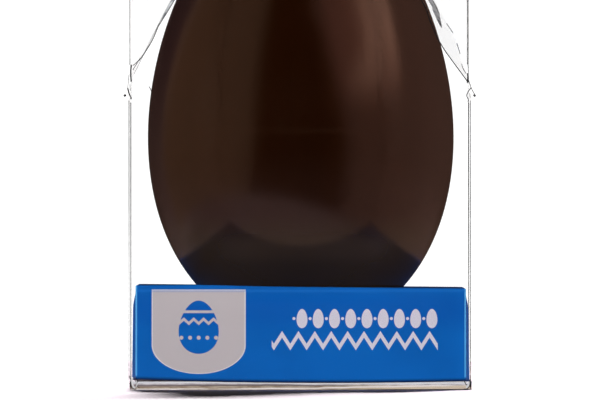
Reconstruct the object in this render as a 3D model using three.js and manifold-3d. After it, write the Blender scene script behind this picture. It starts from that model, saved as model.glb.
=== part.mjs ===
// A chocolate egg in its shop pack: the egg stands broad end down in a round hole of a folded card
// tray, and both are inside a square carton of clear film, whose top folds like a milk carton's.
// Millimetres, +Z up. X runs along the ridge of the top, -Y is the front, and the carton stands on
// Z = 0 with its middle on the Z axis.

import * as THREE from 'three';
import { mergeVertices } from 'three/addons/utils/BufferGeometryUtils.js';
import { ConvexGeometry } from 'three/addons/geometries/ConvexGeometry.js';
import Module from 'manifold-3d';

const wasm = await Module();
wasm.setup();

// ---- Driving dimensions -------------------------------------------------------------------------

const GAP = 0.3; // clearance between pieces that touch in the real pack

const EGG_LENGTH = 147.7; // from pole to pole
const EGG_MEAN_RADIUS = 49.54; // radius of the ellipsoid before the taper
const EGG_TAPER = 0.1355; // how much the egg widens towards the bottom and narrows at the top
const EGG_BOTTOM = 17.7; // lowest point of the egg above the floor
const EGG_SIDES = 64; // facets round the egg
const EGG_RINGS = 44; // facets from pole to pole

const TRAY_WIDTH = 106.9; // both ways, at the folds
const TRAY_BOTTOM = 2.9; // the tray lies on the carton's bottom flaps
const TRAY_TOP = 33.3;
const TRAY_BULGE = 1.5; // the side panels belly out by this much in the middle
const CARD = 0.7; // thickness of the folded card
const HOLE_SIDES = 64; // facets round the hole that the egg stands in

const CARTON_WIDTH = 111.4; // both ways, outside
const FILM = 0.4; // thickness of the clear film
const SHOULDER = 95.4; // height of the crease where the top begins
const KNEE = 103.4; // the roof bows out over the shoulder up to here, then runs straight
const KNEE_INSET = 0.4; // how far in the roof is at the knee
const RIDGE = 203.2; // height where the two roof panels meet
const FLANGE_HEIGHT = 12.6; // upright closing flange along the ridge
const FLANGE_LAYERS = 4; // layers of film in the flange
const WING_LAYERS = 2; // layers of film where the folded side lies against a roof panel
const EAR_REACH = 1.7; // the pinched shoulder corners stick out by this much in X and in Y
const EAR_HALF_HEIGHT = 4.2;

const BASE_CLEARANCE = 0.3; // slit between the base panel and the carton's sides
const TUCK_HEIGHT = 10; // tuck-in flap behind the tray
const TUCK_INSET = 4; // the tuck-in flap is narrower than the base by this much at each end
const DUST_FLAP_LENGTH = 43; // side flaps folded in over the base panel
const DUST_FLAP_INSET = 3.5; // they are narrower than the carton by this much at each end
const DUST_FLAP_TAPER = 9; // and narrow further towards their free edge
const DUST_FLAP_ROOT = 1.1; // height of a side flap's fold
const DUST_FLAP_TIP = 2.55; // height of its free edge, which carries the tray

// ---- Solids -------------------------------------------------------------------------------------

/** A manifold-3d solid from a closed three.js geometry. */
function solid(geometry) {
  geometry.deleteAttribute('normal');
  geometry.deleteAttribute('uv');
  const merged = mergeVertices(geometry, 1e-4);
  return new wasm.Manifold(
    new wasm.Mesh({
      numProp: 3,
      vertProperties: new Float32Array(merged.attributes.position.array),
      triVerts: new Uint32Array(merged.index.array),
    }),
  );
}

/** A three.js geometry from a manifold-3d solid. */
function geometryOf(manifold) {
  const { numProp, vertProperties, triVerts } = manifold.getMesh();
  const geometry = new THREE.BufferGeometry();
  geometry.setAttribute('position', new THREE.BufferAttribute(vertProperties, numProp));
  geometry.setIndex(new THREE.BufferAttribute(triVerts, 1));
  geometry.computeVertexNormals();
  return geometry;
}

/** The convex solid round a list of points. */
function hull(points) {
  return solid(new ConvexGeometry(points));
}

/** A flat plate: the convex outline of the points, thickened by a vector. */
function plate(outline, thickness) {
  return hull(outline.flatMap((point) => [point, point.clone().add(thickness)]));
}

function v(x, y, z) {
  return new THREE.Vector3(x, y, z);
}

/** The four corners of a level square round the Z axis. */
function square(halfWidth, z) {
  return [v(1, 1, 0), v(-1, 1, 0), v(-1, -1, 0), v(1, -1, 0)].map((corner) =>
    corner.multiplyScalar(halfWidth).setZ(z),
  );
}

// ---- Egg ----------------------------------------------------------------------------------------

/** Radius of the egg at a height above the floor: an ellipse that tapers towards the top. */
function eggRadius(z) {
  const u = (2 * (z - EGG_BOTTOM)) / EGG_LENGTH - 1;
  return EGG_MEAN_RADIUS * Math.sqrt(Math.max(0, 1 - u * u)) * (1 - EGG_TAPER * u);
}

function eggGeometry() {
  const profile = [];
  for (let i = 0; i <= EGG_RINGS; i++) {
    const z = EGG_BOTTOM + (EGG_LENGTH * (1 - Math.cos((Math.PI * i) / EGG_RINGS))) / 2;
    const atPole = i === 0 || i === EGG_RINGS;
    profile.push(new THREE.Vector2(atPole ? 0 : eggRadius(z), z));
  }
  const lathe = new THREE.LatheGeometry(profile, EGG_SIDES).rotateX(Math.PI / 2);
  return geometryOf(solid(lathe));
}

// ---- Card tray ----------------------------------------------------------------------------------

/** A box whose four upright sides belly out to one point in the middle. */
function bulgedBox(halfWidth, bottom, top) {
  const middle = (bottom + top) / 2;
  const reach = halfWidth + TRAY_BULGE;
  return hull([
    ...square(halfWidth, bottom),
    ...square(halfWidth, top),
    v(reach, 0, middle),
    v(-reach, 0, middle),
    v(0, reach, middle),
    v(0, -reach, middle),
  ]);
}

function trayGeometry() {
  const half = TRAY_WIDTH / 2;
  const holeRadius = eggRadius(TRAY_TOP) + GAP;
  const punch = new THREE.CylinderGeometry(holeRadius, holeRadius, 4 * CARD, HOLE_SIDES);
  const outside = bulgedBox(half, TRAY_BOTTOM, TRAY_TOP);
  const inside = bulgedBox(half - CARD, TRAY_BOTTOM + CARD, TRAY_TOP - CARD);
  const hole = solid(punch.rotateX(Math.PI / 2).translate(0, 0, TRAY_TOP));
  return geometryOf(outside.subtract(inside).subtract(hole));
}

// ---- Clear carton -------------------------------------------------------------------------------

/** The carton's closed outline, shrunk inwards by a margin. */
function cartonOutline(margin) {
  const half = CARTON_WIDTH / 2;
  const bottom = margin > 0 ? -CARTON_WIDTH : 0;
  const slope = (half - KNEE_INSET) / (RIDGE - KNEE);
  const drop = margin * Math.hypot(1, 1 / slope); // the roof's margin, measured straight down
  return hull([
    ...square(half - margin, bottom),
    ...square(half - margin, SHOULDER),
    ...square(half - KNEE_INSET - margin, KNEE + margin / slope - drop),
    v(0, 0, RIDGE - drop),
  ]);
}

/** The four wings, where a folded side lies flat against the inside of a roof panel. */
function wings() {
  const half = CARTON_WIDTH / 2;
  const knee = half - KNEE_INSET;
  const inward = v(0, RIDGE - KNEE, -knee).normalize().multiplyScalar(FILM * WING_LAYERS);
  const pieces = [];
  for (const side of [-1, 1]) {
    for (const face of [-1, 1]) {
      const place = v(side, face, 1);
      const wing = [v(knee, knee, KNEE), v(half, knee, KNEE), v(half, 0, RIDGE), v(0, 0, RIDGE)];
      const root = [v(knee, knee, KNEE), v(half, knee, KNEE), v(half, half, SHOULDER)];
      for (const outline of [wing, root]) {
        const placed = outline.map((point) => point.multiply(place));
        pieces.push(plate(placed, v(0, -face * inward.y, inward.z)));
      }
    }
  }
  return pieces;
}

/** The upright flange along the ridge. */
function flange() {
  const half = CARTON_WIDTH / 2;
  const layers = FILM * FLANGE_LAYERS;
  const box = new THREE.BoxGeometry(2 * half, layers, FLANGE_HEIGHT + layers);
  return solid(box.translate(0, 0, RIDGE + (FLANGE_HEIGHT - layers) / 2));
}

/** The small pinched corners where the shoulder crease meets the upright edges. */
function ears() {
  const half = CARTON_WIDTH / 2;
  return square(half - FILM, SHOULDER).map((corner) => {
    const outward = v(Math.sign(corner.x), Math.sign(corner.y), 0);
    const across = v(-outward.y, outward.x, 0).normalize().multiplyScalar(FILM);
    const tip = corner.clone().addScaledVector(outward, FILM + EAR_REACH);
    const low = corner.clone().setZ(SHOULDER - EAR_HALF_HEIGHT);
    const high = corner.clone().setZ(SHOULDER + EAR_HALF_HEIGHT);
    const outline = [low, high, tip].map((point) => point.addScaledVector(across, -0.5));
    return plate(outline, across);
  });
}

/** The base panel, hinged on the front, with its flap tucked in behind the tray. */
function basePanel() {
  const half = CARTON_WIDTH / 2;
  const reach = half - FILM - BASE_CLEARANCE;
  const panel = new THREE.BoxGeometry(2 * reach, half + reach, FILM);
  const tuck = new THREE.BoxGeometry(2 * (reach - TUCK_INSET), FILM, TUCK_HEIGHT);
  return [
    solid(panel.translate(0, (reach - half) / 2, FILM / 2)),
    solid(tuck.translate(0, reach - FILM / 2, TUCK_HEIGHT / 2)),
  ];
}

/** The two side flaps, which spring up under the tray. */
function dustFlaps() {
  const half = CARTON_WIDTH / 2;
  const root = half - FILM / 2;
  const rootWidth = half - DUST_FLAP_INSET;
  const tipWidth = rootWidth - DUST_FLAP_TAPER;
  const tip = root - DUST_FLAP_LENGTH;
  return [-1, 1].map((side) =>
    plate(
      [
        v(side * root, -rootWidth, DUST_FLAP_ROOT),
        v(side * root, rootWidth, DUST_FLAP_ROOT),
        v(side * tip, tipWidth, DUST_FLAP_TIP),
        v(side * tip, -tipWidth, DUST_FLAP_TIP),
      ],
      v(0, 0, -FILM),
    ),
  );
}

function cartonGeometry() {
  let carton = cartonOutline(0).subtract(cartonOutline(FILM));
  for (const piece of [...wings(), flange(), ...ears(), ...basePanel(), ...dustFlaps()]) {
    carton = carton.add(piece);
  }
  return geometryOf(carton);
}

// ---- Assembly -----------------------------------------------------------------------------------

const chocolate = new THREE.MeshStandardMaterial({ color: 0x2c150d, roughness: 0.28, metalness: 0 });
const blueCard = new THREE.MeshStandardMaterial({ color: 0x0b56a8, roughness: 0.4, metalness: 0 });
const clearFilm = new THREE.MeshStandardMaterial({
  color: 0xeef2f5,
  roughness: 0.08,
  metalness: 0,
  transparent: true,
  opacity: 0.2,
});

function named(name, geometry, material) {
  const mesh = new THREE.Mesh(geometry, material);
  mesh.name = name;
  return mesh;
}

const pack = new THREE.Group();
pack.add(
  named('chocolate_egg', eggGeometry(), chocolate),
  named('card_tray', trayGeometry(), blueCard),
  named('clear_carton', cartonGeometry(), clearFilm),
);

export default pack;
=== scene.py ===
"""A chocolate egg standing in a folded blue card tray, in a clear film carton with a gable top.

Shapes are worked out in millimetres and turned into metres when a mesh is made. +Z is up, the ridge
of the top runs along X, and -Y is the front.
"""

from math import cos, exp, pi, radians, sin, sqrt

import bpy
from mathutils import Matrix, Vector
from mathutils.noise import noise


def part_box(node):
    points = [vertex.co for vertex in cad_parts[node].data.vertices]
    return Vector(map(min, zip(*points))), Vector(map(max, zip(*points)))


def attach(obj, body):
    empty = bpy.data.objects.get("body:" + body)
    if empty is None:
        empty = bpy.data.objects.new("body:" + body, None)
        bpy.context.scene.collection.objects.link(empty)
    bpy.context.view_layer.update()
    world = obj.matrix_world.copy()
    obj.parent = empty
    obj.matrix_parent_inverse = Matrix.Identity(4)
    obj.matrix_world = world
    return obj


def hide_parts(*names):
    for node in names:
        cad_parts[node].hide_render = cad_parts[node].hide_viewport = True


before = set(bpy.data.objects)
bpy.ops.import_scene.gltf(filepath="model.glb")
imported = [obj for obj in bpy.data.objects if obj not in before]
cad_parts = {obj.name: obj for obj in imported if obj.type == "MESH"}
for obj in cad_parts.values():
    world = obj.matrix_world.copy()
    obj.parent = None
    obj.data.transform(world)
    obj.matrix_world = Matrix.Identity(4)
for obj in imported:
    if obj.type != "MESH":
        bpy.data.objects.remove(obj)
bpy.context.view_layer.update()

MM = 0.001
scene = bpy.context.scene

# ---- Driving dimensions, from the frame where it holds them ----

EGG_LOW, EGG_HIGH = (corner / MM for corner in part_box("chocolate_egg"))
TRAY_LOW, TRAY_HIGH = (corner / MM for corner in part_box("card_tray"))
CARTON_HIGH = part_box("clear_carton")[1] / MM

EGG_MEAN_RADIUS = 49.54  # of the ellipsoid before the taper
EGG_TAPER = 0.1355
EGG_SIDES = 256
EGG_RINGS = 180
EGG_RELIEF = 0.05  # the moulded surface is wavy by this much

CARD = 0.7
TRAY_BULGE = 1.5
TRAY_HALF = TRAY_HIGH.x - TRAY_BULGE
TRAY_FOLD = 0.35  # radius of the tray's folds
TRAY_LIFT = 0.5  # the bottom's left corners are this much above the CAD tray's, for the sag
TRAY_SAG = 0.77  # the middle of each bottom edge hangs lower than its corners
TRAY_BOTTOM_TILT = 0.25  # the bottom is higher at the left edge, and lower at the right, by this much
TRAY_TOP_TILT = 0.5  # the same at the top
TRAY_HUMP = 0.35  # height of a low hump in the top's front edge
TRAY_HUMP_X = -32
TRAY_HUMP_WIDTH = 16
HOLE_CLEARANCE = 0.3

FILM = 0.3
FILM_FOOT = 0.2  # height of the base panel and of the walls' lower edges
FILM_RIPPLE = 0.25  # the front and back are wavy by this much
SIDE_RIPPLE = 0.2
SIDE_BULGE = 0.3  # the side walls belly out by this much
GUSSET_BOW = {-1: 0.3, 1: 1.4}  # the folded-in left and right triangle bow outwards by this much
WING_INSET = 0.45  # a wing lies this far inside its roof panel
TUCK_HEIGHT = 10
TUCK_INSET = 4  # the tuck-in flap is narrower than the base by this much at each end
FLAP_LENGTH = 43
FLAP_HALF_WIDTH = 52  # of a side flap at its fold
FLAP_TAPER = 9  # it narrows by this much at each end towards its free edge
FLAP_ROOT = 0.75  # height of its fold
FLAP_TIP = 2.2  # height of its free edge
EAR_REACH = 1.7
EAR_HALF_HEIGHT = 4.2
CARTON_SHIFT = -0.35  # the film carton sits a little to the left round its tray
CARTON_FRONT_HALF = 55.2  # the carton is slightly narrower across the front than across the back
CARTON_BACK_HALF = 55.7
CARTON_DEPTH_HALF = CARTON_HIGH.y - EAR_REACH - FILM / 2
SHOULDER = 95.4
KNEE = 103.4
KNEE_INSET = 0.4
FLANGE_HEIGHT = 12.6
RIDGE = CARTON_HIGH.z - FLANGE_HEIGHT
FLANGE_HALF_THICKNESS = 0.65
FLANGE_RIBS = (3.5, 5.5, 7.5, 9.5)  # heights of its pressed ribs above the ridge
LINE_LIFT = 0.12  # the lines of the folds lie this far outside the film

SIDES = {-1: "left", 1: "right"}
FACES = {-1: "front", 1: "back"}


def at(x, y, z):
    return Vector((x, y, z))


# ---- Node expressions ----

def operator(operation):
    """A method of Field that makes one maths node."""
    return lambda self, *others: self.math(operation, *others)


class Field:
    """A number that varies over a surface or a sky, written as arithmetic and built as nodes."""

    def __init__(self, tree, socket):
        self.tree = tree
        self.socket = socket

    def math(self, operation, *others):
        node = new_node(self.tree, "Math")
        node.operation = operation
        for socket, value in zip(node.inputs, (self, *others)):
            plug(self.tree, socket, value)
        return Field(self.tree, node.outputs[0])

    __add__ = __radd__ = operator("ADD")
    __sub__ = operator("SUBTRACT")
    __mul__ = operator("MULTIPLY")
    __truediv__ = operator("DIVIDE")
    __pow__ = operator("POWER")
    __abs__ = operator("ABSOLUTE")
    least = operator("MINIMUM")
    most = operator("MAXIMUM")

    def __rsub__(self, other):
        return self * -1 + other

    def __rtruediv__(self, other):
        return self ** -1.0 * other

    def step(self, start, end):
        """0 at start, 1 at end, and smooth between them."""
        node = new_node(self.tree, "MapRange", Value=self, From_Min=start, From_Max=end)
        node.interpolation_type = "SMOOTHSTEP"
        return Field(self.tree, node.outputs["Result"])

    def between(self, low, high, soft):
        """1 between low and high, with edges that are soft wide."""
        return self.step(low - soft / 2, low + soft / 2) * self.step(high + soft / 2, high - soft / 2)


def plug(tree, socket, value):
    """Sets a socket to a constant or links a field or another socket to it."""
    if isinstance(value, Field):
        tree.links.new(value.socket, socket)
    elif isinstance(value, bpy.types.NodeSocket):
        tree.links.new(value, socket)
    else:
        socket.default_value = value


def set_sockets(tree, node, **settings):
    """Plugs values into a node's sockets by name, with _ for a space. Returns the node."""
    for name, value in settings.items():
        plug(tree, node.inputs[name.replace("_", " ")], value)
    return node


def new_node(tree, kind, **settings):
    return set_sockets(tree, tree.nodes.new("ShaderNode" + kind), **settings)


def rgba(colour):
    """A colour tuple with its alpha, or a socket as it is."""
    return (*colour, 1) if isinstance(colour, tuple) else colour


def vector(tree, x, y, z):
    return new_node(tree, "CombineXYZ", X=x, Y=y, Z=z).outputs[0]


def split(tree, socket):
    """The three fields of a vector socket."""
    node = new_node(tree, "SeparateXYZ", Vector=socket)
    return [Field(tree, output) for output in node.outputs]


def place_mm(tree):
    """The fields x, y and z of the shaded point, in millimetres."""
    place = new_node(tree, "TexCoord").outputs["Object"]
    return [field * (1 / MM) for field in split(tree, place)]


def noise_field(where, scale, detail=3.0, roughness=0.5):
    """Noise at three coordinates, of which the first is a field."""
    tree = where[0].tree
    node = new_node(tree, "TexNoise")
    set_sockets(tree, node, Vector=vector(tree, *where), Scale=scale, Detail=detail, Roughness=roughness)
    return Field(tree, node.outputs["Fac"])


def mix_colour(factor, first, second):
    node = new_node(factor.tree, "Mix")
    node.data_type = "RGBA"
    for index, value in ((0, factor), (6, rgba(first)), (7, rgba(second))):
        plug(factor.tree, node.inputs[index], value)
    return node.outputs[2]


def layered(colour, *layers):
    """A colour with other colours laid over it, each as strongly as its mask says."""
    for mask, over in layers:
        colour = mix_colour(mask, colour, over)
    return colour


def mix_shader(factor, first, second):
    node = new_node(factor.tree, "MixShader")
    for socket, value in zip(node.inputs, (factor, first.outputs[0], second.outputs[0])):
        plug(factor.tree, socket, value)
    return node


def bump(height, distance_mm):
    node = new_node(height.tree, "Bump", Strength=1.0, Distance=distance_mm * MM, Height=height)
    return node.outputs["Normal"]


def new_material(name, **settings):
    """A material with one Principled shader. Returns it, its node tree and the shader."""
    material = bpy.data.materials.new(name)
    material.use_nodes = True
    tree = material.node_tree
    return material, tree, set_sockets(tree, tree.nodes["Principled BSDF"], **settings)


def ray_kind(tree, name):
    """1 for rays of a kind, and 0 for others."""
    return Field(tree, new_node(tree, "LightPath").outputs[name])


def mesh_strength(tree):
    """The strength that the mesh holds at its points."""
    node = new_node(tree, "Attribute")
    node.attribute_name = "strength"
    return Field(tree, node.outputs["Fac"])


# ---- Materials ----

def chocolate_material():
    """Dark chocolate with faint streaks up and down it, and a painted reflection of the tray's top,
    lighter and greyer, above the tray.
    """
    material, tree, shader = new_material("chocolate")
    x, y, z = place_mm(tree)
    around = x.math("ARCTAN2", y * -1) * 45
    streaks = noise_field((around * 0.16, 3.7, z * 0.012), 1.0, 2.0)
    mottle = noise_field((x, y, z), 0.035, 2.0)
    lumps = noise_field((x, y, z), 0.22, 3.0, 0.6)
    fine = noise_field((x, y, z), 0.7, 2.0)
    tone = (streaks * 0.35 + mottle * 0.65).step(0.3, 0.7)
    colour = mix_colour(tone, (0.0125, 0.0026, 0.0002), (0.0170, 0.0038, 0.0005))
    # Painted reflection: low down the chocolate is lighter and greyer where it mirrors the tray's top,
    # and brighter in a patch at the front.
    painted_reflection_patch = z.between(42, 49, 5) * x.between(-24, 28, 12)
    painted_tray_reflection = mix_colour(painted_reflection_patch, (0.0285, 0.0168, 0.0072), (0.038, 0.0225, 0.011))
    # A faint lighter line across the front at this height.
    lighter_line = z.between(83.0, 84.8, 2.0) * x.between(-18, 20, 10)
    colour = layered(
        colour,
        (z.step(58, 46) * (0.8 + mottle * 0.4), painted_tray_reflection),
        (lighter_line * 0.45, (0.024, 0.008, 0.0035)),
    )
    relief = streaks * 0.5 + mottle * 0.6 + lumps * 0.12 + fine * 0.01
    gloss = 0.15 + streaks * 0.06 + fine * 0.04
    set_sockets(tree, shader, Base_Color=colour, Roughness=gloss, Normal=bump(relief, 0.08))
    return material


def oval(x, z, centre_x, centre_z, half_width, half_height, taper=0.0):
    """Above 0 inside an oval that narrows upwards by its taper."""
    dz = (z - centre_z) / half_height
    dx = (x - centre_x) / half_width
    if taper:
        dx = dx / (1 - dz * taper)
    return 1 - dx * dx - dz * dz


def printed_label(x, z):
    """The light field at the left, round at the bottom. Returns its mask and its thin pale border."""
    left, right, top, straight_to, bottom = -48.2, -17.8, 32.5, 14.5, 5.2
    middle, half = (left + right) / 2, (right - left) / 2
    drop = (z - straight_to).least(0.0) / (straight_to - bottom)
    across = (x - middle) / half
    inside = ((1 - across * across - drop * drop) * (half / 2)).least(top - z)
    return inside.step(-0.06, 0.06), inside.step(0.5, 0.3)


def printed_egg(x, z):
    """A plain egg on the label, with a zigzag and a row of dots left light."""
    centre_x, centre_z, half_width, half_height = -33.0, 20.3, 6.4, 8.6
    body = oval(x, z, centre_x, centre_z, half_width, half_height, 0.17).step(-0.01, 0.01)
    zigzag = abs(z - centre_z - 1.2 - (x - centre_x).math("PINGPONG", 1.6) * 0.9)
    dots_x = (x - centre_x).math("WRAP", -1.4, 1.4)
    dots = oval(dots_x, z, 0.0, centre_z - 3.4, 0.65, 0.65).step(-0.1, 0.1)
    lines = zigzag.step(0.62, 0.5).most(dots).most(abs(z - centre_z - 5.0).step(0.5, 0.4))
    return body * (1 - lines)


def printed_rows(x, z):
    """Two rows of ornament at the right: ovals with dots between them, and a zigzag."""
    right = 44.3
    pitch = 5.25
    place = (x - right + 1.9).math("WRAP", -pitch / 2, pitch / 2)
    between = (x - right + 1.9 + pitch / 2).math("WRAP", -pitch / 2, pitch / 2)
    ovals = oval(place, z, 0.0, 23.1, 1.75, 3.1, 0.12).step(-0.05, 0.05)
    dots = oval(between, z, 0.0, 23.1, 0.5, 0.5).step(-0.2, 0.2)
    upper = ovals.most(dots) * x.between(-2.9, right, 0.1)
    wave = (x - right).math("PINGPONG", 2.65) * 1.55
    lower = abs(z - 13.9 - wave).step(1.15, 1.0) * x.between(-9.4, right, 0.1)
    return upper.most(lower)


def card_material():
    """Blue card: printed at the front, with painted shade along the bottom edge, over its upper part and
    on its top beside the egg, and painted highlights along its folds.
    """
    material, tree, shader = new_material("blue_card", Specular_IOR_Level=0.25)
    x, y, z = place_mm(tree)
    front = y.step(-TRAY_HALF + 2.0, -TRAY_HALF + 1.6)
    blotch = noise_field((x * 0.8, y, z * 1.4), 0.05, 3.0)
    fibre = noise_field((x, y, z), 1.6, 4.0, 0.65)
    blue = mix_colour(blotch.step(0.35, 0.65), (0.0010, 0.150, 0.60), (0.0020, 0.170, 0.66))
    # Painted shade: a band over the upper part of the tray is darker.
    blue = mix_colour(z.between(21, 31, 8) * 0.5, blue, (0.0004, 0.115, 0.56))
    label, border = printed_label(x, z)
    pale = mix_colour(border, (0.70, 0.63, 0.655), (0.90, 0.86, 0.90))
    pale = mix_colour(printed_egg(x, z), pale, blue)
    inner, outer = abs(x).least(abs(y)), abs(x).most(abs(y))
    lowest = TRAY_LOW.z + TRAY_LIFT - TRAY_BOTTOM_TILT - TRAY_SAG
    over_edge = z - lowest - inner * inner * (TRAY_SAG / TRAY_HALF ** 2)
    over_edge = over_edge + x * (TRAY_BOTTOM_TILT / TRAY_HALF)
    # Painted highlights: lighter blue along the upright folds and just under the top fold.
    folded = inner.step(TRAY_HALF - 0.62, TRAY_HALF - 0.42) * over_edge.step(0.8, 1.6)
    highlight_under_top = z.between(TRAY_HIGH.z - 1.6, TRAY_HIGH.z - 0.9, 0.8)
    highlight_under_top = highlight_under_top * outer.step(TRAY_HALF - 0.9, TRAY_HALF)
    # Painted shade on the top beside the egg, at the left and right.
    painted_shade_top = z.step(TRAY_HIGH.z - 2.2, TRAY_HIGH.z - 1.2) * abs(x).step(30, 42) * y.step(-40, -20)
    colour = layered(
        blue,
        (label * front, pale),
        (printed_rows(x, z) * front, (0.90, 0.85, 0.97)),
        # Painted shade: dark along the bottom edge.
        (over_edge.step(1.3, 0.2) * 0.85, (0.001, 0.015, 0.07)),
        (folded, (0.11, 0.50, 1.0)),
        (highlight_under_top * 0.35, (0.02, 0.26, 0.85)),
        (painted_shade_top * outer.step(53, 51) * 0.6, (0.0008, 0.04, 0.15)),
    )
    relief = bump(fibre * 0.35 + blotch, 0.05)
    set_sockets(tree, shader, Base_Color=colour, Roughness=0.34 + fibre * 0.12, Normal=relief)
    return material


def film_material():
    """Clear film: a faint mirror that grows towards grazing angles, and is clear between."""
    material, tree, shader = new_material(
        "clear_film", Base_Color=(0.94, 0.97, 1.0, 1.0), Metallic=1.0, Roughness=0.05
    )
    weight = new_node(tree, "LayerWeight", Blend=0.5)
    facing = Field(tree, weight.outputs["Facing"])
    x, y, z = place_mm(tree)
    ripples = noise_field((x, y, z * 0.5), 0.045, 2.0)
    relief = bump(ripples * z.step(8, 40), 0.5)
    set_sockets(tree, shader, Normal=relief, Alpha=0.025 + (facing ** 5.0 * 0.9).least(0.05))
    return material


def crease_material(name, colour, gloss):
    """A fold in the film, painted in the dark or pale colour that its bending of the light gives: its
    strength is held by the mesh.
    """
    material, tree, shader = new_material(
        name, Base_Color=rgba(colour), Roughness=0.4, Specular_IOR_Level=gloss
    )
    x, y, z = place_mm(tree)
    patchy = noise_field((x * 0.5, y * 0.5, z), 0.45, 3.0, 0.7).step(0.3, 0.6)
    set_sockets(tree, shader, Alpha=(mesh_strength(tree) * (0.72 + patchy * 0.33)).least(1.0))
    return material


def pleat_material():
    """Film gathered in fine pleats, painted grey with light and dark streaks along its length for what
    the pleats reflect.
    """
    material, tree, shader = new_material("film_pleats", Roughness=0.25)
    x, y, z = place_mm(tree)
    along, across = abs(x) * -0.85 + z * 0.53, abs(x) * 0.53 + z * 0.85
    streaks = noise_field((across, along * 0.2, y * 0.1), 1.0, 3.0, 0.75)
    colour = mix_colour(streaks.step(0.4, 0.6), (0.12, 0.14, 0.18), (0.95, 1.00, 1.05))
    alpha = mesh_strength(tree) * (0.6 + streaks.step(0.6, 0.4) * 0.4)
    set_sockets(tree, shader, Base_Color=colour, Alpha=alpha.least(1.0))
    return material


def layered_film_material():
    """The folded bottom edge of the carton: layers of film seen on edge, one above the other, with the
    reflections, highlights and shade they show painted into their colour.
    """
    material, tree, shader = new_material("layered_film", Roughness=0.3)
    x, y, z = place_mm(tree)
    place = x + y
    lie = noise_field((place * 0.035, 0.0, 3.0), 1.0, 3.0, 0.6) - 0.5
    height = z + lie * 0.9
    wander = noise_field((place * 0.05, 7.0, z * 0.5), 1.0, 2.0)
    grain = noise_field((place * 0.25, 2.0, z * 2.2), 1.0, 3.0, 0.6)
    khaki = mix_colour(grain.step(0.35, 0.65), (0.34, 0.25, 0.17), (0.62, 0.52, 0.41))
    khaki = mix_colour(x.step(5, 35) * 0.75, khaki, (1.0, 0.84, 0.66))
    grey = mix_colour(grain.step(0.35, 0.65), (0.50, 0.45, 0.50), (0.95, 0.90, 0.95))
    darker_band_left = height.between(1.25, 1.8, 0.4) * x.step(25, 0)
    # Painted highlights: a white band along the top and a glint that rises towards the right.
    top = height + x.step(-35, 5) * 0.35
    glint = (height - x.step(-20, 60) * 1.1).between(0.15, 0.6, 0.3) * wander.step(0.35, 0.5)
    # Painted shade at the foot, towards the right.
    painted_foot_shade = z.step(0.45, 0.2) * x.step(5, 55)
    colour = layered(
        khaki,
        (height.step(1.3, 1.7), grey),
        (darker_band_left * 0.9, (0.20, 0.16, 0.16)),
        (top.step(2.05, 2.3), (1.0, 1.0, 1.05)),
        (glint, (1.1, 1.02, 0.98)),
        (painted_foot_shade * 0.8, (0.03, 0.02, 0.024)),
    )
    set_sockets(tree, shader, Base_Color=colour)
    return material


# ---- Meshes ----

SHARP_ANGLE = radians(60)  # only sharper edges than this look sharp
TUBE_UP = at(0.31, 0.87, 0.39)  # no tube runs along this direction


def new_object(name, data):
    made = bpy.data.objects.new(name, data)
    scene.collection.objects.link(made)
    return made


def add_piece(name, points, faces, material, slot, strengths=None):
    """A mesh object from points in millimetres, which rides on the pack."""
    mesh = bpy.data.meshes.new(name)
    mesh.from_pydata([point * MM for point in points], [], faces)
    mesh.materials.append(material)
    mesh.shade_smooth()
    mesh.set_sharp_from_angle(angle=SHARP_ANGLE)
    if strengths:
        mesh.attributes.new("strength", "FLOAT", "POINT").data.foreach_set("value", strengths)
    piece = new_object(name, mesh)
    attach(piece, "root")
    return piece


def loft(rings, start, end):
    """Points and faces of the closed skin over rings of equal length, with a pole at each end."""
    count = len(rings[0])
    points = [point for ring in rings for point in ring] + [start, end]
    faces = []
    for row in range(len(rings) - 1):
        for i in range(count):
            here, there = row * count + i, row * count + (i + 1) % count
            faces.append((here, there, there + count, here + count))
    last = (len(rings) - 1) * count
    for i in range(count):
        faces.append((len(points) - 2, (i + 1) % count, i))
        faces.append((len(points) - 1, last + i, last + (i + 1) % count))
    return points, faces


def sheet(grid, thickness=FILM):
    """Points and faces of a thin closed sheet, thickened both ways from a grid of points."""
    rows, columns = len(grid), len(grid[0])
    upper, lower = [], []
    for r in range(rows):
        for c in range(columns):
            along = grid[min(r + 1, rows - 1)][c] - grid[max(r - 1, 0)][c]
            across = grid[r][min(c + 1, columns - 1)] - grid[r][max(c - 1, 0)]
            offset = across.cross(along).normalized() * (thickness / 2)
            upper.append(grid[r][c] + offset)
            lower.append(grid[r][c] - offset)
    points = upper + lower
    faces = []
    for r in range(rows - 1):
        for c in range(columns - 1):
            a = r * columns + c
            faces.append((a, a + 1, a + columns + 1, a + columns))
            b = a + rows * columns
            faces.append((b, b + columns, b + columns + 1, b + 1))
    border = [(0, c) for c in range(columns)] + [(r, columns - 1) for r in range(1, rows)]
    border += [(rows - 1, c) for c in reversed(range(columns - 1))]
    border += [(r, 0) for r in reversed(range(1, rows - 1))]
    indices = [r * columns + c for r, c in border]
    for i, a in enumerate(indices):
        b = indices[(i + 1) % len(indices)]
        faces.append((a, a + rows * columns, b + rows * columns, b))
    return points, faces


def value_at(value, where):
    """A value that is a number, or a function of where it is wanted."""
    return value(where) if callable(value) else value


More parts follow.
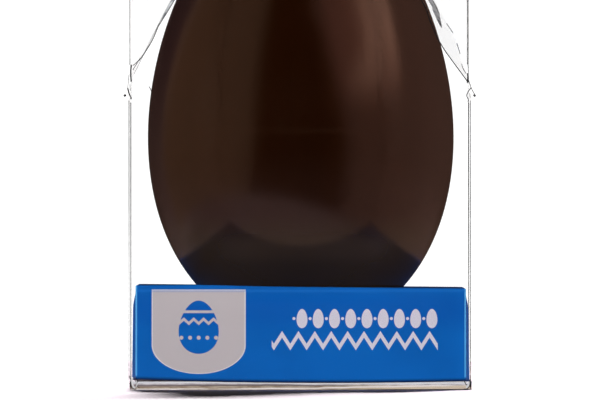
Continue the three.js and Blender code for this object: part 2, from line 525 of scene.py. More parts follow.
def tube(path, radius, strength, sides=8):
    """Points, faces and strengths of a thin closed tube along a path.

    Its radius may vary with the share of the path done, and its strength with the place.
    """
    points, strengths, faces = [], [], []
    for i, centre in enumerate(path):
        reach = value_at(radius, i / (len(path) - 1))
        along = path[min(i + 1, len(path) - 1)] - path[max(i - 1, 0)]
        first = along.cross(TUBE_UP).normalized()
        second = along.cross(first).normalized()
        for side in range(sides):
            turn = 2 * pi * side / sides
            points.append(centre + first * (reach * cos(turn)) + second * (reach * sin(turn)))
        strengths += [value_at(strength, centre)] * sides
    for i in range(len(path) - 1):
        for side in range(sides):
            a, b = i * sides + side, i * sides + (side + 1) % sides
            faces.append((a, b, b + sides, a + sides))
    faces.append(tuple(reversed(range(sides))))
    faces.append(tuple(range(len(points) - sides, len(points))))
    return points, faces, strengths


def joined(parts):
    """One list of points, faces and strengths from several."""
    points, faces, strengths = [], [], []
    for part_points, part_faces, part_strengths in parts:
        start = len(points)
        points += part_points
        strengths += part_strengths
        faces += [tuple(index + start for index in face) for face in part_faces]
    return points, faces, strengths


def grid_of(rows, columns, place):
    """Rows of points, each of them at place(row, column)."""
    return [[place(row, column) for column in columns] for row in rows]


def mix(first, second, share):
    """Between two numbers or points, at a share of the way that may be a field."""
    return first + share * (second - first)


def smoothstep(value, low, high):
    share = min(1.0, max(0.0, (value - low) / (high - low)))
    return share * share * (3 - 2 * share)


def curve_at(knots, place):
    """A smooth curve through (place, value) knots, straight on beyond its ends."""
    for i in range(len(knots) - 1):
        if place <= knots[i + 1][0] or i == len(knots) - 2:
            break
    (x0, y0), (x1, y1) = knots[i], knots[i + 1]
    before = knots[i - 1] if i else (2 * x0 - x1, 2 * y0 - y1)
    after = knots[i + 2] if i + 2 < len(knots) else (2 * x1 - x0, 2 * y1 - y0)
    share = (place - x0) / (x1 - x0)
    if not 0 <= share <= 1:
        return mix(y0, y1, share)
    slope0 = (y1 - before[1]) / (x1 - before[0]) * (x1 - x0)
    slope1 = (after[1] - y0) / (after[0] - x0) * (x1 - x0)
    t2, t3 = share * share, share ** 3
    return (
        (2 * t3 - 3 * t2 + 1) * y0 + (t3 - 2 * t2 + share) * slope0
        + (3 * t2 - 2 * t3) * y1 + (t3 - t2) * slope1
    )


def spread(count, low=0.0, high=1.0):
    return [low + (high - low) * i / (count - 1) for i in range(count)]


# ---- Egg ----

def egg_radius(z):
    u = 2 * (z - EGG_LOW.z) / (EGG_HIGH.z - EGG_LOW.z) - 1
    return EGG_MEAN_RADIUS * sqrt(max(0.0, 1 - u * u)) * (1 - EGG_TAPER * u)


def make_egg():
    """The egg, moulded smooth with slight waves that run up and down it."""
    rings = []
    for i in range(1, EGG_RINGS):
        z = mix(EGG_LOW.z, EGG_HIGH.z, (1 - cos(pi * i / EGG_RINGS)) / 2)
        ring = []
        for side in range(EGG_SIDES):
            turn = 2 * pi * side / EGG_SIDES
            facing = at(cos(turn), sin(turn), 0)
            wave = noise(at(facing.x * 2.2, facing.y * 2.2, z * 0.012))
            wave += 0.4 * noise(at(facing.x * 6, facing.y * 6, z * 0.03))
            ring.append(facing * (egg_radius(z) - EGG_RELIEF + EGG_RELIEF * wave) + at(0, 0, z))
        rings.append(ring)
    points, faces = loft(rings, at(0, 0, EGG_LOW.z), at(0, 0, EGG_HIGH.z))
    egg = add_piece("egg", points, faces, chocolate_material(), "chocolate")
    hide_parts("chocolate_egg")


# ---- Card tray ----

SIDE_STEPS = 48
CORNER_STEPS = 6
FOLD_TURNS = [pi / 8 * step for step in range(5)]  # a quarter turn, from 0


def tray_outline(half, bulge):
    """A square with bellied sides and round corners, as (x, y) points."""
    straight = half - TRAY_FOLD
    outline = []
    for quarter in range(4):
        turn = quarter * pi / 2
        out = Vector((cos(turn), sin(turn)))
        along = Vector((-out.y, out.x))
        for share in spread(SIDE_STEPS, -1, 1):
            outline.append(out * (half + bulge * (1 - share * share)) + along * (share * straight))
        corner = (out + along) * straight
        for i in range(1, CORNER_STEPS):
            angle = turn + pi / 2 * i / CORNER_STEPS
            outline.append(corner + Vector((cos(angle), sin(angle))) * TRAY_FOLD)
    return outline


def tray_top_at(x, y):
    front = smoothstep(-y, 30, TRAY_HALF)
    hump = TRAY_HUMP * exp(-((x - TRAY_HUMP_X) / TRAY_HUMP_WIDTH) ** 2) * front
    return TRAY_HIGH.z - TRAY_TOP_TILT * x / TRAY_HALF + hump


def tray_bottom_at(x, y):
    edge = max(abs(x), abs(y)) / TRAY_HALF
    along = min(abs(x), abs(y)) / TRAY_HALF
    level = TRAY_LOW.z + TRAY_LIFT - TRAY_BOTTOM_TILT * (1 + x / TRAY_HALF)
    return level - TRAY_SAG * (1 - along * along) * min(1.0, edge)


def tray_ring(height, half, bulge=0.0, hole=0.0, drop=0.0):
    """A ring round the tray at a share of its height. hole is how far it has closed in on the hole."""
    ring = []
    hole_radius = egg_radius(TRAY_HIGH.z) + HOLE_CLEARANCE
    for point in tray_outline(half, bulge):
        if hole:
            point = mix(point, point.normalized() * hole_radius, hole)
        low, high = tray_bottom_at(point.x, point.y), tray_top_at(point.x, point.y)
        ring.append(at(point.x, point.y, mix(low, high, height) - drop))
    return ring


def tray_bulge_at(height):
    """The sides belly out most at the bottom, and come back in just under the top fold."""
    return TRAY_BULGE * (1.05 - 0.25 * height) * (1 - smoothstep(height, 0.7, 1.0) ** 2)


def make_tray():
    """The folded card tray, as one closed skin: up its outside, over the top and back inside."""
    fold = TRAY_FOLD / (TRAY_HIGH.z - TRAY_LOW.z)
    belly = tray_bulge_at(0)
    rings = [tray_ring(0, TRAY_HALF * share, belly * share) for share in (0.25, 0.5, 0.75, 0.95)]
    for turn in FOLD_TURNS:
        inset = TRAY_FOLD * (1 - sin(turn))
        rings.append(tray_ring(fold * (1 - cos(turn)), TRAY_HALF - inset, belly))
    for height in spread(25)[1:-1]:
        rings.append(tray_ring(mix(fold, 1 - fold, height), TRAY_HALF, tray_bulge_at(height)))
    for turn in FOLD_TURNS:
        inset = TRAY_FOLD * (1 - cos(turn))
        rings.append(tray_ring(1 - fold * (1 - sin(turn)), TRAY_HALF - inset))
    for share in (0.1, 0.3, 0.5, 0.7, 0.85, 0.95, 1.0):
        rings.append(tray_ring(1, TRAY_HALF - TRAY_FOLD, hole=share))
    for share in (1.0, 0.9, 0.6, 0.3, 0.05):
        rings.append(tray_ring(1, TRAY_HALF - 2 * CARD, hole=share, drop=CARD))
    for height in spread(12, 1, 0):
        rings.append(tray_ring(mix(0.06, 0.94, height), TRAY_HALF - CARD, tray_bulge_at(height)))
    rings += [tray_ring(0, TRAY_HALF * share, drop=-CARD) for share in (0.75, 0.5, 0.25)]
    floor = tray_bottom_at(0, 0)
    points, faces = loft(rings, at(0, 0, floor), at(0, 0, floor + CARD))
    tray = add_piece("tray", points, faces, card_material(), "blue_card")
    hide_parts("card_tray")


# ---- Film carton ----

def add_film(name, shape, material):
    """A piece of the carton. Its shape is points, faces and, where it is a fold, strengths."""
    points, faces, *strengths = shape
    return add_piece(f"film_{name}", points, faces, material, "clear_film", *strengths)


def even_sheet(grid, thickness, strength):
    """A sheet that is a fold of one strength."""
    points, faces = sheet(grid, thickness)
    return points, faces, [strength] * len(points)


def carton_half(face):
    """Half of the carton's width at a depth, from -1 at the front to 1 at the back."""
    return mix(CARTON_FRONT_HALF, CARTON_BACK_HALF, (face + 1) / 2)


def roof_depth(z):
    """How far the roof panels are from the middle at a height."""
    if z <= SHOULDER:
        return CARTON_DEPTH_HALF
    if z <= KNEE:
        return CARTON_DEPTH_HALF - KNEE_INSET * ((z - SHOULDER) / (KNEE - SHOULDER)) ** 2
    share = (z - KNEE) / (RIDGE - KNEE)
    return mix(CARTON_DEPTH_HALF - KNEE_INSET, FLANGE_HALF_THICKNESS, min(1.0, share))


# Where the slanting creases of the top are at a side and a face, as (height, distance from the middle).
CREASES = {
    (-1, -1): [(SHOULDER, 54.9), (103, 54.2), (106.7, 52.1), (126.2, 40.8), (150, 27.6), (RIDGE, 0.6)],
    (1, -1): [(SHOULDER, 54.9), (100.2, 54.1), (111.2, 46.0), (119, 43.1), (126.2, 39.8), (RIDGE, 0.6)],
    (-1, 1): [(SHOULDER, 55.2), (103, 54.6), (126.2, 42.7), (150, 29), (RIDGE, 0.6)],
    (1, 1): [
        (SHOULDER, 55.4), (102.9, 55.0), (106.2, 53.4), (112.8, 51.9), (119.4, 48.6), (127, 44.4),
        (RIDGE, 0.6),
    ],
}


def crease_point(side, face, z):
    reach = curve_at(CREASES[side, face], z)
    return at(side * reach + CARTON_SHIFT, face * roof_depth(z), z)


def make_long_panel(face, film):
    """The front or back: wall, roof panel and one layer of the flange, in one folded sheet."""
    levels = spread(12, FILM_FOOT, 84) + spread(8, 86, 98) + spread(6, 100, KNEE)
    levels += spread(24, KNEE + 4, RIDGE) + spread(4, RIDGE + 3, CARTON_HIGH.z - 0.05)

    def place(z, across):
        x = across * carton_half(face) + CARTON_SHIFT
        ripple = FILM_RIPPLE * noise(at(x * 0.03, face * 4, z * 0.03))
        ripple *= (1 - across ** 4) * smoothstep(z, 36, 60)
        return at(x, face * (roof_depth(z) + min(0.0, ripple)), z)

    return add_film(FACES[face], sheet(grid_of(levels, spread(33, -1, 1), place)), film)


def make_side_wall(side, film):
    def place(z, along):
        bulge = SIDE_BULGE * (1 - along * along) * smoothstep(z, 0, 8) * smoothstep(-z, -45, -30)
        ripple = SIDE_RIPPLE * noise(at(along * 1.3, side * 7, z * 0.025)) * (1 - along ** 4)
        x = side * (carton_half(along) + bulge + ripple)
        return at(x + CARTON_SHIFT, along * CARTON_DEPTH_HALF, z)

    grid = grid_of(spread(30, FILM_FOOT, SHOULDER), spread(25, -1, 1), place)
    add_film(SIDES[side], sheet(grid), film)


def make_gusset(side, film):
    """The side's middle triangle, folded in between the roof panels and bowed outwards."""
    def place(z, share):
        bow = GUSSET_BOW[side] * smoothstep(z, 116, 128) * smoothstep(-z, -195, -150)
        out = side * bow * (1 - (2 * share - 1) ** 2)
        return mix(crease_point(side, -1, z), crease_point(side, 1, z), share) + at(out, 0, 0)

    grid = grid_of(spread(36, SHOULDER, RIDGE - 2), spread(17), place)
    add_film(f"gusset_{SIDES[side]}", sheet(grid), film)


def make_wing(side, face, film):
    """The side's outer triangle, which lies flat against the inside of a roof panel."""
    levels = spread(30, SHOULDER + 0.5, RIDGE) + spread(3, RIDGE + 4, CARTON_HIGH.z - 0.4)
    edge = side * (carton_half(face) - 0.15) + CARTON_SHIFT

    def place(z, share):
        inner = crease_point(side, face, min(z, RIDGE))
        return at(mix(inner.x, edge, share), face * max(0.2, roof_depth(z) - WING_INSET), z)

    grid = grid_of(levels, spread(9), place)
    add_film(f"wing_{SIDES[side]}_{FACES[face]}", sheet(grid, 0.25), film)


def make_flap(side, film):
    """A side flap, which rises from its fold towards its free edge."""
    def place(share, along):
        x = side * (CARTON_FRONT_HALF - 0.4 - FLAP_LENGTH * share) + CARTON_SHIFT
        y = along * (FLAP_HALF_WIDTH - FLAP_TAPER * share)
        return at(x, y, mix(FLAP_ROOT, FLAP_TIP, share))

    add_film(f"flap_{SIDES[side]}", sheet(grid_of(spread(12), spread(9, -1, 1), place)), film)


def make_base(film):
    """The base panel, the flap tucked in behind the tray, and the two side flaps over the base."""
    back = CARTON_DEPTH_HALF - 0.7
    levels, depths = spread(5, 2 * FILM_FOOT, TUCK_HEIGHT), spread(9, -CARTON_DEPTH_HALF, back)
    panel = grid_of(depths, spread(9, -back, back), lambda y, x: at(x + CARTON_SHIFT, y, FILM_FOOT))
    add_film("base", sheet(panel), film)
    half = back - TUCK_INSET
    tuck = grid_of(levels, spread(9, -half, half), lambda z, x: at(x + CARTON_SHIFT, back, z))
    add_film("tuck", sheet(tuck), film)
    for side in SIDES:
        make_flap(side, film)


def on_film(side, face, across, z):
    """The point on the front or back film at a distance from its middle. Past its edge is the ear."""
    outside = max(0.0, across - carton_half(face))
    return at(side * across + CARTON_SHIFT, face * (roof_depth(z) + outside + LINE_LIFT), z)


def through(knots, steps=8):
    """A smooth path through a few points."""
    path = []
    for i in range(len(knots) - 1):
        before, start, end = knots[max(0, i - 1)], knots[i], knots[i + 1]
        after = knots[min(len(knots) - 1, i + 2)]
        bend = 2 * before - 5 * start + 4 * end - after
        twist = 3 * start - before - 3 * end + after
        for step in range(steps):
            t = step / steps
            path.append(start + ((end - before) * t + bend * t * t + twist * t ** 3) / 2)
    return path + [knots[-1]]


# Folds of the top: side, face, radius, darkness, and knots as (distance from the middle, height).
FOLDS = [
    (-1, -1, 0.24, 0.28, [(54.8, 203), (55.0, 150), (55.1, 125), (54.9, 105.2)]),
    (-1, -1, 0.25, 0.97, [(54.45, 105.1), (54.6, 103.2), (54.6, 101.6), (54.45, 99.6)]),
    (-1, -1, 0.15, 0.9, [(1.0, 202), (13.0, 180), (27.4, 150), (40.5, 126.4), (45.8, 117.7)]),
    (-1, -1, 0.17, 0.95, [(45.8, 117.7), (47.7, 113.2), (50.5, 108.5), (52.0, 106.5)]),
    (-1, -1, 0.12, 0.8, [(52.1, 106.5), (53.9, 104.9)]),
    (-1, -1, 0.12, 0.7, [(51.6, 107.3), (52.9, 105.2), (53.9, 103.5)]),
    (-1, -1, 0.11, 0.6, [(55.2, 102.0), (55.6, 97.6)]),
    (-1, -1, 0.23, 0.97, [(55.6, 97.6), (55.1, 95.7), (54.5, 94.5), (54.6, 94.0)]),
    (-1, -1, 0.11, 0.45, [(54.9, 98.9), (54.7, 96.7)]),
    (-1, 1, 0.14, 0.75, [(49.8, 98.9), (49.3, 98.2), (48.9, 97.2)]),
    (1, 1, 0.14, 0.6, [(48.8, 98.0), (48.3, 97.3), (48.1, 96.2)]),
    (-1, 1, 0.12, 0.35, [(1.0, 202), (12.0, 180), (29.0, 150), (43.0, 126), (54.6, 103)]),
    (1, -1, 0.27, 0.58, [(54.35, 203), (54.55, 150), (54.45, 125), (54.35, 105.4)]),
    (1, -1, 0.14, 0.55, [(54.4, 105.4), (54.6, 102.4)]),
    (1, -1, 0.3, 1.0, [(54.3, 102.4), (54.4, 100.9), (54.3, 99.3)]),
    (1, -1, 0.13, 0.85, [(54.5, 100.4), (55.4, 97.8), (56.1, 96.3), (56.6, 95.5)]),
    (1, -1, 0.15, 0.88, [(55.4, 97.7), (54.5, 96.5), (54.0, 95.2), (54.5, 93.9), (54.4, 93.0)]),
    (1, -1, 0.11, 0.5, [(54.9, 95.9), (55.1, 94.3)]),
    (1, -1, 0.17, 1.0, [(54.2, 99.8), (50.1, 105.4), (47.3, 109.3), (45.9, 111.5), (44.3, 114.4),
                         (42.2, 119.7)]),
    (1, -1, 0.2, 1.0, [(45.4, 112.3), (44.2, 114.6), (42.1, 119.7), (39.5, 126.2), (26.0, 150),
                         (11.5, 180), (1.0, 202)]),
    (1, 1, 0.12, 0.9, [(43.9, 126.9), (45.1, 124.6), (46.1, 122.4)]),
    (1, 1, 0.13, 0.8, [(48.4, 119.6), (50.5, 116.5)]),
    (1, 1, 0.13, 0.8, [(51.8, 113.1), (52.9, 109.7)]),
    (1, 1, 0.13, 0.85, [(53.4, 106.3), (54.0, 104.6), (54.9, 103.2)]),
]
# Crumpled corners of the bottom, dark and pale.
CRUMPLES = [
    (-1, -1, 0.13, 0.8, [(55.0, 4.6), (54.6, 2.9), (54.9, 1.9), (54.3, 0.8), (53.6, 0.35), (52.8, 0.3)]),
    (-1, -1, 0.1, 0.6, [(53.3, 3.9), (52.3, 2.9), (52.9, 1.8), (51.7, 0.6)]),
    (1, -1, 0.12, 0.75, [(53.2, 2.9), (53.9, 1.7), (54.5, 2.1), (55.1, 3.6)]),
    (1, -1, 0.13, 0.8, [(55.1, 3.6), (55.0, 1.6), (54.2, 0.45), (53.0, 0.35)]),
]
# Painted highlights where the crumpled corners catch the light.
PALE_CRUMPLES = [
    (-1, -1, 0.34, 1.0, [(54.2, 4.2), (54.1, 2.6), (53.8, 1.2), (53.2, 0.6)]),
    (-1, -1, 0.22, 0.9, [(53.0, 3.0), (52.6, 2.0), (52.9, 1.0)]),
    (1, -1, 0.3, 1.0, [(54.7, 2.8), (54.4, 1.6), (53.9, 0.7)]),
]


def folds(table):
    """A thin tube along each fold of a table."""
    parts = []
    for side, face, radius, darkness, knots in table:
        path = through([on_film(side, face, across, z) for across, z in knots])
        parts.append(tube(path, radius, darkness))
    return parts


# The upright edges at a side and a face: darkness at foot and top, and between which heights it changes.
EDGE_DARKNESS = {
    (-1, -1): (0.15, 0.55, 30, 75),
    (1, -1): (0.50, 0.50, 30, 75),
    (-1, 1): (0.50, 0.85, 40, 80),
    (1, 1): (0.55, 0.85, 35, 75),
}
RIBBON_WIDTH = 0.7  # of a fold between front or back and side, on the side
FOOT_LINE = (-54.6, 54.2)  # left and right end of the line along the foot
FLANGE_LINE = (-54.9, 54.2)  # and of the lines along the flange


def fold_ribbon(side, face):
    """The part of a fold between front or back and side that lies on the side, from foot to ridge."""
    x = side * carton_half(face) + CARTON_SHIFT

    def place(z, inwards):
        return at(x, face * (roof_depth(z) - inwards), z)

    return even_sheet(grid_of(spread(80, 1.2, RIDGE - 2), (0, RIBBON_WIDTH), place), 0.03, 0.45)


def upright_fold(side, face):
    """The line along one of the carton's upright edges, from the foot to the shoulder."""
    low, high, start, end = EDGE_DARKNESS[side, face]
    x, y = side * carton_half(face) + CARTON_SHIFT, face * CARTON_DEPTH_HALF
    path = [at(x, y, z) for z in spread(90, 0.9, SHOULDER - 1.8)]
    return tube(path, 0.17, lambda place: mix(low, high, smoothstep(place.z, start, end)))


def ear_tip(side):
    """The dark tip of a front ear, thickest in its middle."""
    centre = on_film(side, -1, carton_half(-1) + ear_reach(-1) * 0.9, SHOULDER - 0.2) + at(0, 0.3, 0)
    path = [centre + at(side * shift, 0, shift) for shift in (-0.26, -0.09, 0.09, 0.26)]
    return tube(path, lambda share: 0.52 - 0.4 * abs(share - 0.5), 0.9)


def foot_line(face):
    """The line along the foot of the front or back, which fades away to the left."""
    path = [at(x, face * CARTON_DEPTH_HALF, FILM_FOOT) for x in spread(40, *FOOT_LINE)]
    return tube(path, 0.12, lambda place: 0.85 * smoothstep(place.x, 1, 53))


def seal_lines():
    """The edges and pressed ribs of the closed flange, and the back edges of the roof."""
    parts = []
    top = CARTON_HIGH.z - 0.3
    for z in (RIDGE, *(RIDGE + rib for rib in FLANGE_RIBS), top):
        darkness = 0.22 if RIDGE < z < top else 0.75
        for face in FACES:
            y = face * (FLANGE_HALF_THICKNESS + 0.1)
            parts.append(tube([at(x, y, z) for x in spread(40, *FLANGE_LINE)], 0.2, darkness))
    across = 54.9
    for side in SIDES:
        x = side * across + CARTON_SHIFT
        parts.append(tube([at(x, 0, z) for z in spread(9, RIDGE, top)], 0.28, 0.75))
        path = [on_film(side, 1, across, z) for z in spread(40, 112, RIDGE)]
        parts.append(tube(path, 0.25, lambda place: 0.7 * smoothstep(place.z, 122, 150)))
    return parts


def make_creases():
    """The folds of the film, painted as dark tubes where they bend the bright background away, and as
    pale ones where crumpled film catches the light.
    """
    parts = folds(FOLDS) + folds(CRUMPLES)
    for side in SIDES:
        for face in FACES:
            parts += [upright_fold(side, face), fold_ribbon(side, face)]
        parts.append(ear_tip(side))
    parts += [foot_line(-1), foot_line(1)]
    dark = crease_material("film_crease", (0.010, 0.011, 0.013), 0.15)
    add_film("creases", joined(parts + seal_lines()), dark)
    # Painted highlights on the crumpled corners.
    pale = crease_material("film_crumple", (0.95, 0.95, 0.97), 0.5)
    add_film("crumples", joined(folds(PALE_CRUMPLES)), pale)


# Bands of gathered film beside the slanting folds: side, face, strength, and the knots of both edges.
PLEATS = [
    (-1, -1, 0.62, [(45.6, 117.8), (41.6, 126.2), (28.0, 150), (13.6, 178), (2.5, 200)],
     [(45.3, 118.1), (40.6, 126.2), (26.0, 150), (11.6, 178), (0.9, 200)]),
    (1, 1, 0.92, [(46.6, 118.2), (45.2, 120.8), (43.7, 124.1), (42.2, 127.4), (28.2, 150), (13.2, 178),
                  (1.2, 200)],
     [(46.9, 118.2), (46.4, 120.8), (45.5, 124.1), (43.8, 127.4), (30.2, 150), (15.4, 178), (3.0, 200)]),
]


def make_pleats():
    material = pleat_material()
    for side, face, strength, inner, outer in PLEATS:
        first = through([on_film(side, face, *knot) for knot in inner], 6)
        second = through([on_film(side, face, *knot) for knot in outer], 6)
        grid = [[mix(a, b, share) for share in spread(5)] for a, b in zip(first, second)]
        add_film(f"pleats_{SIDES[side]}", even_sheet(grid, 0.12, strength), material)


def ear_reach(face):
    """How far the corners are pinched out: less at the back, where the carton is wider."""
    return EAR_REACH * (0.85 if face < 0 else 0.55)


def make_ear(side, face, film):
    """One of the corners where the top begins, pinched outwards."""
    def place(height, share):
        reach = ear_reach(face) * (1 - abs(height) / EAR_HALF_HEIGHT)
        foot = on_film(side, face, carton_half(face), SHOULDER + height)
        return foot + at(side, face, 0) * (reach * share)

    grid = grid_of(spread(9, -4.0, 4.0), spread(4), place)
    add_film(f"ear_{SIDES[side]}_{FACES[face]}", sheet(grid, 0.14), film)


def make_bottom_edge(name, quarter, material):
    """A folded edge between a wall and the base, as high as the gap under the tray."""
    turn = Matrix.Rotation(pi / 2 * quarter, 3, "Z")
    reach = CARTON_DEPTH_HALF - 0.32

    def place(share, x):
        top = min(2.75, tray_bottom_at(x, -TRAY_HALF) - 0.1)
        lean = 0.16 * noise(at(x * 0.11, quarter * 3.1, share * 1.5))
        return turn @ at(x, -reach + 0.12 + lean, mix(0.06, top, share))

    grid = grid_of(spread(10), spread(60, 0.6 - reach, reach - 0.6), place)
    add_film(f"bottom_edge_{name}", sheet(grid, 0.1), material)


def make_carton():
    film = film_material()
    front = make_long_panel(-1, film)
    make_long_panel(1, film)
    for side in SIDES:
        make_side_wall(side, film)
        make_gusset(side, film)
        for face in FACES:
            make_wing(side, face, film)
    make_base(film)
    layers = layered_film_material()
    for quarter, name in enumerate(("front", "right", "back", "left")):
        make_bottom_edge(name, quarter, layers)
    for side in SIDES:
        for face in FACES:
            make_ear(side, face, film)
    make_pleats()
    make_creases()
    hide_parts("clear_carton")


# ---- Studio ----

CAMERA_DISTANCE = 5.443
CAMERA_HEIGHT = 0.06143
CAMERA_X = -0.00025
LENS = 1000.0  # in millimetres, on a sensor 36 mm wide
FLOOR_FRONT = -0.6
FLOOR_HALF = 0.9
FLOOR_SEEN = (0.95, 0.85, 0.91)
FLOOR_BOUNCE = (0.06, 0.06, 0.06)  # the floor is lit far brighter than the pack, so it gives less back
FLOOR_REFLECTED = (0.68, 0.445, 0.43)  # brightness of the glow painted in for the lit part of the floor in reflections
LIT_FLOOR_X = -55  # middle of the lit part of the floor, in millimetres
LIT_FLOOR_Y = -35
LIT_FLOOR_RADIUS = 143
BACKGROUND = 1.25
PACK_CENTRE = at(0, 0, 0.09)  # what the lights are aimed at
SPOT_TARGET = at(-0.09, -0.2, 0)
BASE_COLOUR = (0.010, 0.004, 0.0015)  # what reflections show between the panels
TOP_COLOUR = (0.6, 0.6, 0.6)
LOW_COLOUR = (0.10, 0.06, 0.055)  # the dim table beyond its lit part
LEFT_COLOUR = (0.49, 0.283, 0.178)  # the warm panels at the sides
RIGHT_COLOUR = (0.52, 0.28, 0.22)
RIM_COLOUR = (0.08, 0.08, 0.14)  # the dim blue wall behind the left panel
GLOW_COLOUR = (0.50, 0.15, 0.10)  # the reddish wall round the brightest panel
PATCH_COLOUR = (1.95, 1.10, 0.75)  # the brightest panel, at the right


def make_camera():
    data = bpy.data.cameras.new("camera")
    data.lens = LENS
    data.sensor_width = 36.0
    data.clip_end = 20.0
    camera = new_object("camera", data)
    camera.location = (CAMERA_X, -CAMERA_DISTANCE, CAMERA_HEIGHT)
    camera.rotation_euler = (pi / 2, 0, 0)
    scene.camera = camera


def make_floor():
    """A white table. In reflections only the part near the pack shows, as a painted glow for the lit
    table, and the rest is left out.
    """
    material, tree, principled = new_material("floor")
    tree.nodes.remove(principled)
    x, y, z = place_mm(tree)
    grain = noise_field((x, y, z), 0.2, 3.0).step(0.3, 0.7)
    seen = mix_colour(grain, FLOOR_SEEN, tuple(0.97 * value for value in FLOOR_SEEN))
    colour = mix_colour(ray_kind(tree, "Is Camera Ray"), FLOOR_BOUNCE, seen)
    shader = new_node(tree, "BsdfDiffuse", Color=colour)
    from_x, from_y = x - LIT_FLOOR_X, y - LIT_FLOOR_Y
    reach = (from_x * from_x + from_y * from_y).math("SQRT")
    # Painted shade: the glow of the lit part is dimmer in three places.
    in_front = y.step(-105, -75) * (x.step(-75, -40) + x.step(-95, -120) * 0.8)
    at_the_left = x.step(-160, -125) * y.step(-45, -5)
    at_the_right = x.between(55, 85, 20) * y.step(-50, -20)
    strength = (1 - in_front * 0.35) * (1 - at_the_left * 0.4) * (1 - at_the_right * 0.5)
    lit = new_node(tree, "Emission", Color=rgba(FLOOR_REFLECTED), Strength=strength)
    clear = new_node(tree, "BsdfTransparent")
    reflected = mix_shader(reach.step(LIT_FLOOR_RADIUS - 14, LIT_FLOOR_RADIUS + 14), lit, clear)
    surface = mix_shader(ray_kind(tree, "Is Glossy Ray"), shader, reflected)
    tree.links.new(surface.outputs[0], tree.nodes["Material Output"].inputs["Surface"])
    mesh = bpy.data.meshes.new("floor")
    half = FLOOR_HALF
    corners = [(-half, FLOOR_FRONT, 0), (half, FLOOR_FRONT, 0), (half, half, 0), (-half, half, 0)]
    mesh.from_pydata(corners, [], [(0, 1, 2, 3)])
    mesh.materials.append(material)
    floor = new_object("floor", mesh)
    return floor


def make_sky():
    """White behind the pack as the camera sees it, and warm panels on both sides for reflections."""
    world = bpy.data.worlds.new("studio")
    world.use_nodes = True
    scene.world = world
    tree = world.node_tree
    x, y, z = split(tree, new_node(tree, "TexCoord").outputs["Generated"])
    azimuth = x.math("ARCTAN2", y * -1) * (180 / pi)
    elevation = z.math("ARCSINE") * (180 / pi)
    raised = elevation.most(0.0)
    lowered = elevation.least(0.0) * 0.35
    low_enough = elevation.step(54, 46)
    grazing = (1 - (azimuth * (pi / 360)).math("COSINE")) ** 5.0
    dimmed = 0.05 / (grazing + 0.05)
    left_end = raised * 0.35 - 131
    flagged = azimuth.step(left_end + 4, left_end - 4) * mix(0.15, 0.8, elevation.step(-8, 12))
    rim = azimuth.between(left_end + 2, left_end + 9, 6) * elevation.step(0, 10) * 0.4
    left = azimuth.step(lowered - 29, lowered - 42) * (1 - flagged + rim) * dimmed
    left = left * (1 + azimuth.step(-95, -75) * 0.12) * mix(0.85, 1.0, elevation.step(-14, 0))
    beyond = azimuth.step(left_end + 10, left_end - 4) * dimmed
    edge = (36 - raised * 0.4 - (elevation - 36).most(0.0) * 1.3).most(11.0)
    right = azimuth.step(edge - 9, edge + 9) * (0.85 + azimuth.step(50, 85) * 0.15)
    right = right * (0.05 / (grazing * 0.6 + 0.05))
    glow_start = 25 + (30 - elevation).most(0.0) * 0.6
    end = 87.5 + (elevation - 18) * 0.6
    up_to_end = azimuth.step(end + 6, end - 6)
    glow = azimuth.step(glow_start - 8, glow_start + 8) * up_to_end * elevation.step(9, 18)
    start = 40 + elevation.step(17, 28) * 20
    # The brightest panel, with a dark streak, a dim patch and a light one, and dimmer high up.
    patch = azimuth.step(start - 7, start + 7) * up_to_end * elevation.step(10, 26)
    patch = patch * (1 - azimuth.between(61.6, 63.6, 1.6) * elevation.step(21, 25) * 0.35)
    patch = patch * (1 - azimuth.between(70, 78, 6) * elevation.between(17, 26, 6) * 0.45)
    patch = patch * (1 + azimuth.between(56, 61, 4) * elevation.between(23, 27, 3) * 0.35)
    patch = patch * (1 - azimuth.step(80, 68) * elevation.step(32, 40) * 0.35)
    fields = (
        (BASE_COLOUR, 1.0),
        (TOP_COLOUR, elevation.step(76, 86)),
        (LOW_COLOUR, elevation.step(-5, -16)),
        (LEFT_COLOUR, left * low_enough),
        (RIGHT_COLOUR, right * low_enough),
        (RIM_COLOUR, beyond * low_enough),
        (GLOW_COLOUR, glow * low_enough),
        (PATCH_COLOUR, patch * low_enough),
    )
    colour = vector(tree, *(sum(field * colour[i] for colour, field in fields) for i in range(3)))
    background = set_sockets(tree, tree.nodes["Background"], Color=colour)
    white = new_node(tree, "Background", Color=(BACKGROUND, BACKGROUND, BACKGROUND, 1))
    sky = mix_shader(ray_kind(tree, "Is Camera Ray"), background, white)
    tree.links.new(sky.outputs[0], tree.nodes["World Output"].inputs["Surface"])
    world.cycles_visibility.diffuse = False


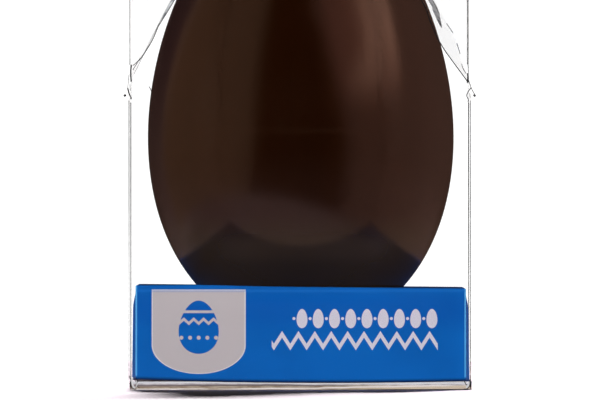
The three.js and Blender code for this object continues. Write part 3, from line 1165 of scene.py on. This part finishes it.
def add_light(name, kind, away, distance, floor, lights_floor):
    """A light that lights only the floor or all but the floor, and doesn't show in any gloss."""
    light = new_object(name, bpy.data.lights.new(name, kind))
    light.location = PACK_CENTRE + away * distance
    light.rotation_euler = away.to_track_quat("Z", "Y").to_euler()
    light.visible_camera = False
    light.visible_glossy = False
    receivers = bpy.data.collections.new(f"lit_by_{name}")
    receivers.objects.link(floor)
    receivers.collection_objects[0].light_linking.link_state = "INCLUDE" if lights_floor else "EXCLUDE"
    light.light_linking.receiver_collection = receivers
    return light


def direction(azimuth, elevation):
    """Away from the pack, at angles in degrees: azimuth 0 is the front, and 90 the right."""
    turn, rise = radians(azimuth), radians(elevation)
    return at(sin(turn) * cos(rise), -cos(turn) * cos(rise), sin(rise))


# Soft panels aimed at the pack: name, azimuth, elevation, distance, width, height, power, and whether
# it lights the floor or all but the floor.
PANELS = [
    ("table_fill", 0, 60, 1.5, 0.5, 0.5, 0.5, True),
    ("back_light", 172, 20, 1.5, 0.25, 0.25, 4.5, False),
    ("top_light", 0, 88, 1.4, 0.6, 0.6, 1, False),
    ("front_fill", -5, 8, 1.8, 1.2, 0.6, 19, False),
    ("left_light", -80, 4, 1.3, 0.5, 0.6, 9.5, False),
    ("right_light", 80, 4, 1.3, 0.5, 0.6, 9.5, False),
]


def make_lights(floor):
    """One lamp behind the pack keeps the table white, and a second fills its shadow at the left."""
    sun = add_light("table_light", "SUN", direction(164, 21), 1.5, floor, True)
    sun.data.angle = radians(8.4)
    sun.data.energy = 11.0
    spot = add_light("table_light_left", "SPOT", direction(182.5, 24), 1.5, floor, True)
    spot.data.shadow_soft_size = 0.11
    spot.data.spot_size = radians(12)
    spot.data.spot_blend = 0.5
    spot.data.energy = 420
    spot.rotation_euler = (spot.location - SPOT_TARGET).to_track_quat("Z", "Y").to_euler()
    for name, azimuth, elevation, distance, width, height, power, lights_floor in PANELS:
        panel = add_light(name, "AREA", direction(azimuth, elevation), distance, floor, lights_floor)
        panel.data.shape = "RECTANGLE"
        panel.data.size = width
        panel.data.size_y = height
        panel.data.energy = power


# ---- Making ----

make_camera()
make_sky()
make_lights(make_floor())
make_egg()
make_tray()
make_carton()

scene.view_settings.view_transform = "Standard"
scene.cycles.transparent_max_bounces = 32
